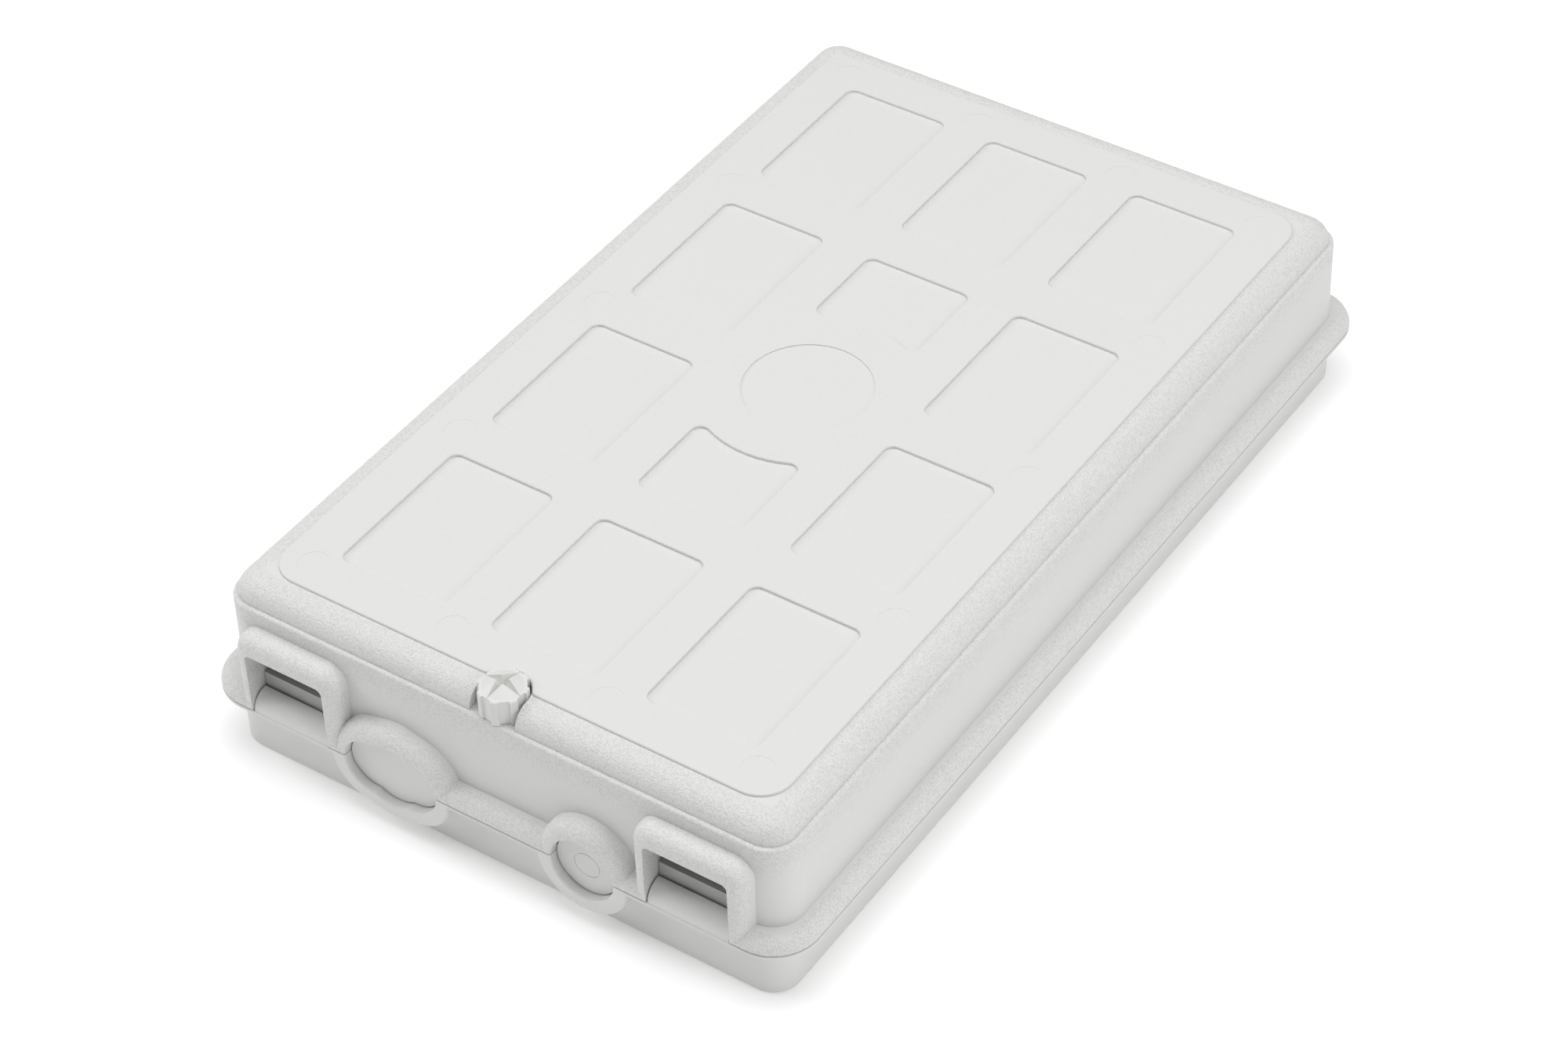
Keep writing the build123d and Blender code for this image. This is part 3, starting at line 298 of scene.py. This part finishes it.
CLIP_THICK, BODY_HALF_X, BODY_HALF_Z = 0.00025, 0.0064, 0.0047
CLIP_FRONT, CLIP_WIDE, LEG_SHORT = 0.0160, 0.0055, 0.002
TONGUE_HALF, TONGUE_MIDDLE, TONGUE_ROOT = 0.0012, 0.002, 0.0025
TONGUE_GAP, BARB_OUT = 0.0001, 0.0006
clips = bmesh.new()
for number in ADAPTER_NUMBERS:
    low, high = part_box(f"sc_adapter_{number}")
    middle_x, middle_z = (low[0] + high[0]) / 2, (low[2] + high[2]) / 2
    half_x, top = BODY_HALF_X + CLIP_THICK, BODY_HALF_Z + CLIP_THICK
    bottom, front = LEG_SHORT - top, low[1] + CLIP_FRONT
    # An upside-down U of sheet: its outline is drawn round the body and pulled along it.
    outline = [(-half_x, bottom), (-half_x, top), (half_x, top), (half_x, bottom)]
    start = [clips.verts.new((middle_x + x, front, middle_z + z)) for x, z in outline]
    edges = [clips.edges.new(pair) for pair in zip(start, start[1:])]
    grown = bmesh.ops.extrude_edge_only(clips, edges=edges)["geom"]
    moved = [item for item in grown if isinstance(item, bmesh.types.BMVert)]
    bmesh.ops.translate(clips, verts=moved, vec=(0, CLIP_WIDE, 0))
    # A tongue on each leg, bent out at its far end into the barb.
    for side in (-1, 1):
        grid = bmesh.ops.create_grid(clips, x_segments=1, y_segments=2, size=TONGUE_HALF)
        tongue = grid["verts"]
        bmesh.ops.rotate(clips, verts=tongue, matrix=Matrix.Rotation(math.pi / 2, 3, "Y"))
        tongue_x = middle_x + side * (half_x + TONGUE_GAP)
        bmesh.ops.translate(clips, verts=tongue,
                            vec=(tongue_x, front + TONGUE_MIDDLE, middle_z))
        for vert in tongue:
            if vert.co.y > front + TONGUE_ROOT:
                vert.co.x += side * BARB_OUT
bmesh.ops.recalc_face_normals(clips, faces=clips.faces)
bmesh.ops.solidify(clips, geom=clips.faces[:], thickness=CLIP_THICK)
make_piece("adapter_clips", clips, zinc, "base")


# Dust caps: soft natural polythene plugs, one in each mouth of every adapter, pressed in
# by hand. They are waxy and let a little light through.

WAX_COLOR, WAX_TINTS, WAX_GLOSS, WAX_DEPTH = (0.74, 0.76, 0.76), (0.96, 1.03), 0.36, 0.00002
MOTTLE_SCALE, MOTTLE_DULLS, GLOW_SHARE, GLOW_REACH = 340, 0.15, 0.35, 0.002

polythene, tree, shader = new_material("natural_polythene")
place = add_node(tree, "ShaderNodeTexCoord").outputs["Object"]
mottle = add_node(tree, "ShaderNodeTexNoise",
                  {"Vector": place, "Scale": MOTTLE_SCALE, "Detail": 3}).outputs["Fac"]
milky = mix_colors(tree, mottle, *[shade(WAX_COLOR, tint) for tint in WAX_TINTS])
tree.links.new(milky, shader.inputs["Base Color"])
rough = calculate(tree, "MULTIPLY_ADD", mottle, MOTTLE_DULLS, WAX_GLOSS)
tree.links.new(rough, shader.inputs["Roughness"])
bump(tree, shader, mottle, 0.3, WAX_DEPTH)
shader.inputs["Subsurface Weight"].default_value = GLOW_SHARE
shader.inputs["Subsurface Radius"].default_value = (GLOW_REACH, GLOW_REACH, GLOW_REACH)
shader.inputs["Subsurface Scale"].default_value = 1.0
for end in ("front", "rear"):
    paint(polythene, *[f"dust_cap_{end}_{number}" for number in ADAPTER_NUMBERS])


# Slack guides and splice tray: two open rings pegged into the floor, and above them a
# shallow tray that swings on a pin of drawn steel rod. All are in the interior grey plastic.

paint(tray_plastic, "slack_guide_left", "slack_guide_right", "splice_tray")
paint(zinc, "tray_hinge_pin")


# Splice holders: black rubber combs, glued to the tray's floor, that grip the splice
# protectors in their slots.

holder_rubber = foam_rubber("holder_rubber", (0.03, 0.03, 0.033), cell=0.00035, depth=0.000015)
paint(holder_rubber, "splice_holder_front", "splice_holder_rear")


# Tray cover: a thin sheet of clear polycarbonate that snaps over the tray, slightly
# smoky, with the light scuffs of handling.

CLEAR_COLOR, SCUFFED_COLOR = (0.90, 0.93, 0.95, 1), (0.80, 0.83, 0.85, 1)
SCUFF_SCALE, SCUFF_STARTS, SCUFF_FULL = 90, 0.45, 0.8
POLISH, SCUFF_DULLS, CLEARNESS, POLYCARBONATE_IOR = 0.06, 0.25, 0.95, 1.58

cover_clear, tree, shader = new_material("clear_polycarbonate")
place = add_node(tree, "ShaderNodeTexCoord").outputs["Object"]
scuffs = add_node(tree, "ShaderNodeTexNoise",
                  {"Vector": place, "Scale": SCUFF_SCALE, "Detail": 6,
                   "Roughness": 0.7}).outputs["Fac"]
haze = step_up(tree, scuffs, SCUFF_STARTS, SCUFF_FULL)
tree.links.new(mix_colors(tree, haze, CLEAR_COLOR, SCUFFED_COLOR), shader.inputs["Base Color"])
rough = calculate(tree, "MULTIPLY_ADD", haze, SCUFF_DULLS, POLISH)
tree.links.new(rough, shader.inputs["Roughness"])
shader.inputs["Transmission Weight"].default_value = CLEARNESS
shader.inputs["IOR"].default_value = POLYCARBONATE_IOR
paint(cover_clear, "tray_cover")


# Port blanks: moulded plates, keyed on the rib round each opening and knocked out when a
# cable gland is fitted. They come from a polished mould, so they are smoother than the box.

def polished_grain(tree, place):
    """The trace of grain left by a polished mould, the same all over."""
    return 0.02


blank_plastic = leathery_plastic("blank_plastic", SHELL_COLOR, polished_grain, gloss=0.40)
paint(blank_plastic, "port_blank_large", "port_blank_small")


# Lid shell: a deep moulding with a rolled shoulder, a raised panel of shallow recesses,
# hoods over the snap and hinge windows, and half rings over the ports. The grain is deep
# on the shoulder, hoods, rings and flange, and fades on the drawn walls and the panel.

LID_FOOT_Z, GRAIN_STARTS_Z, GRAIN_FULL_Z = 0.02038, 0.0369, 0.0494
WALL_HALF_X, WALL_HALF_Y, HOOD_STEP = 0.0915, 0.1500, 0.0010
PANEL_HALF_X, PANEL_HALF_Y, PANEL_STEP = 0.0819, 0.1396, 0.0004
PANEL_SHARE, LEAST_GRAIN = 0.12, 0.05


def outside(tree, x, y, half_x, half_y, step):
    """1 outside a rectangle about the middle of the box, 0 inside, over a width of step."""
    past_x = step_up(tree, calculate(tree, "ABSOLUTE", x), half_x, half_x + step)
    past_y = step_up(tree, calculate(tree, "ABSOLUTE", y), half_y, half_y + step)
    return calculate(tree, "MAXIMUM", past_x, past_y)


def lid_grain(tree, place):
    """Deep outside the walls and up on the shoulder, faint within the panel's edge."""
    x, y, z = add_node(tree, "ShaderNodeSeparateXYZ", {0: place}).outputs
    on_hoods = outside(tree, x, y, WALL_HALF_X, WALL_HALF_Y, HOOD_STEP)
    on_shoulder = step_up(tree, z, GRAIN_STARTS_Z, GRAIN_FULL_Z)
    off_panel = outside(tree, x, y, PANEL_HALF_X, PANEL_HALF_Y, PANEL_STEP)
    panel_share = calculate(tree, "MULTIPLY_ADD", off_panel, 1 - PANEL_SHARE, PANEL_SHARE)
    deep = calculate(tree, "MAXIMUM", on_hoods, on_shoulder)
    deep = calculate(tree, "MULTIPLY", deep, panel_share)
    return calculate(tree, "MULTIPLY_ADD", deep, 1 - LEAST_GRAIN, LEAST_GRAIN)


# The lid's foot gets the thin band of painted shade along the parting.
lid_plastic = leathery_plastic("lid_plastic", SHELL_COLOR, lid_grain, foot_z=LID_FOOT_Z)
paint(lid_plastic, "lid_shell")


# Hinge pins: plain drawn steel rod pushed through the ears of the lid and the barrels of
# the base. Snap bars: springy strips of acetal on hooked rails, coloured darker than the box as
# painted shade for the shadow inside the windows.

paint(zinc, "hinge_pin_left", "hinge_pin_right")
# Painted shade: the bars' darker grey stands in for the shadow inside the snap windows.
BAR_SHADED_COLOR = (0.40, 0.40, 0.395)
bar_painted_shade_plastic = leathery_plastic("bar_painted_shade_plastic", BAR_SHADED_COLOR, polished_grain, gloss=0.34)
paint(bar_painted_shade_plastic, "snap_bar_left", "snap_bar_right")


# Thumbscrew: a ribbed moulded knob with a cross slot, on a steel shank that is held in
# the lid by a spring clip over a washer.

KNOB_COLOR = (0.715, 0.715, 0.70)
knob_plastic = leathery_plastic("knob_plastic", KNOB_COLOR, polished_grain, gloss=0.36)
paint(knob_plastic, "thumbscrew_knob")
paint(zinc, "shank_clip", "knob_washer")

SHANK_R, CORE_R, GROOVE_R, TIP_R = 0.0019, 0.0016, 0.0015, 0.0010
TIP_HIGH, GROOVE_HIGH, ROUND_STEPS = 0.0008, 0.0008, 32
THREAD_PITCH, THREAD_TURNS, TURN_STEPS, THREAD_LEAD = 0.0015, 8, 20, 0.0012
THREAD_HALF, THREAD_ROOT_R, RUN_OUT, SHOULDER_HIGH = 0.0005, 0.0014, 0.0002, 0.0004
low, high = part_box("thumbscrew_shank")
tip_z, top_z, clip_z = low[2], high[2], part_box("shank_clip")[0][2]
thread_low = tip_z + THREAD_LEAD
core_top = thread_low + THREAD_PITCH * THREAD_TURNS + RUN_OUT
shank = bmesh.new()
# The turned profile, from the tip's cone up past the clip's groove, spun round the axis.
profile = [(0.0, tip_z), (TIP_R, tip_z), (CORE_R, tip_z + TIP_HIGH),
           (CORE_R, core_top), (SHANK_R, core_top + SHOULDER_HIGH),
           (SHANK_R, clip_z), (GROOVE_R, clip_z), (GROOVE_R, clip_z + GROOVE_HIGH),
           (SHANK_R, clip_z + GROOVE_HIGH), (SHANK_R, top_z), (0.0, top_z)]
points = [shank.verts.new((radius, SCREW_Y, z)) for radius, z in profile]
outline = [shank.edges.new(pair) for pair in zip(points, points[1:])]
bmesh.ops.spin(shank, geom=points + outline, cent=(0, SCREW_Y, 0), axis=(0, 0, 1),
               angle=2 * math.pi, steps=ROUND_STEPS, use_merge=True)
bmesh.ops.remove_doubles(shank, verts=shank.verts, dist=1e-6)
# The rolled thread: a small triangle wound up the core.
ridge = [(THREAD_ROOT_R, thread_low - THREAD_HALF), (SHANK_R, thread_low),
         (THREAD_ROOT_R, thread_low + THREAD_HALF)]
section = shank.faces.new([shank.verts.new((radius, SCREW_Y, z)) for radius, z in ridge])
bmesh.ops.spin(shank, geom=[section], cent=(0, SCREW_Y, 0), axis=(0, 0, 1),
               dvec=(0, 0, THREAD_PITCH / TURN_STEPS), angle=2 * math.pi * (THREAD_TURNS - 1),
               steps=TURN_STEPS * (THREAD_TURNS - 1), use_duplicate=False)
bmesh.ops.recalc_face_normals(shank, faces=shank.faces)
shank_piece = make_piece("threaded_shank", shank, zinc, "thumbscrew")
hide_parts("thumbscrew_shank")


# Table, lights and camera: a white sweep of card that glows a little, under a large soft
# light from above. A smaller softbox on each side fills the walls' own shadow.

FLOOR_HALF, FLOOR_WHITE, FLOOR_GLOW, ROOM_LIGHT = 6, (0.93, 0.93, 0.93, 1), 0.17, 0.25
WHITE = (1, 1, 1, 1)
floor_mesh = bmesh.new()
bmesh.ops.create_grid(floor_mesh, x_segments=1, y_segments=1, size=FLOOR_HALF)
floor_data = bpy.data.meshes.new("floor")
floor_mesh.to_mesh(floor_data)
floor_mesh.free()
floor = bpy.data.objects.new("floor", floor_data)
bpy.context.scene.collection.objects.link(floor)
white_card, tree, shader = new_material("white_sweep")
shader.inputs["Base Color"].default_value = FLOOR_WHITE
shader.inputs["Roughness"].default_value = 0.9
shader.inputs["Emission Color"].default_value = WHITE
shader.inputs["Emission Strength"].default_value = FLOOR_GLOW
floor_data.materials.append(white_card)

world = bpy.data.worlds.new("studio")
bpy.context.scene.world = world
world.use_nodes = True
room = world.node_tree.nodes["Background"]
room.inputs["Color"].default_value = WHITE
room.inputs["Strength"].default_value = ROOM_LIGHT


def softbox(name, place, size, watts):
    """Square light that looks at the middle of the box."""
    light = bpy.data.lights.new(name, "AREA")
    light.shape = "SQUARE"
    light.size = size
    light.energy = watts
    lamp = bpy.data.objects.new(name, light)
    lamp.location = place
    lamp.rotation_euler = (-Vector(place)).to_track_quat("-Z", "Y").to_euler()
    bpy.context.scene.collection.objects.link(lamp)


softbox("overhead", place=(0.1, 0.1, 1.5), size=1.4, watts=16.4)
softbox("right_fill", place=(1.4, -0.1, 0.8), size=0.9, watts=6.7)
softbox("left_fill", place=(-1.3, -0.5, 0.9), size=0.9, watts=9.4)

AZIMUTH, ELEVATION, ROLL = math.radians(35.19), math.radians(42.12), math.radians(-2.03)
DISTANCE, LENS = 1.1236, 90.5
target = Vector((0.0001, -0.0139, 0.0184))
# From the target back to the camera; azimuth turns from the near end towards the right.
back = Vector((math.sin(AZIMUTH) * math.cos(ELEVATION),
               -math.cos(AZIMUTH) * math.cos(ELEVATION), math.sin(ELEVATION)))
camera_data = bpy.data.cameras.new("camera")
camera_data.lens = LENS
camera = bpy.data.objects.new("camera", camera_data)
turn = back.to_track_quat("Z", "Y").to_matrix().to_4x4() @ Matrix.Rotation(ROLL, 4, "Z")
camera.matrix_world = Matrix.Translation(target + DISTANCE * back) @ turn
bpy.context.scene.collection.objects.link(camera)
bpy.context.scene.camera = camera
bpy.context.scene.view_settings.view_transform = "Standard"
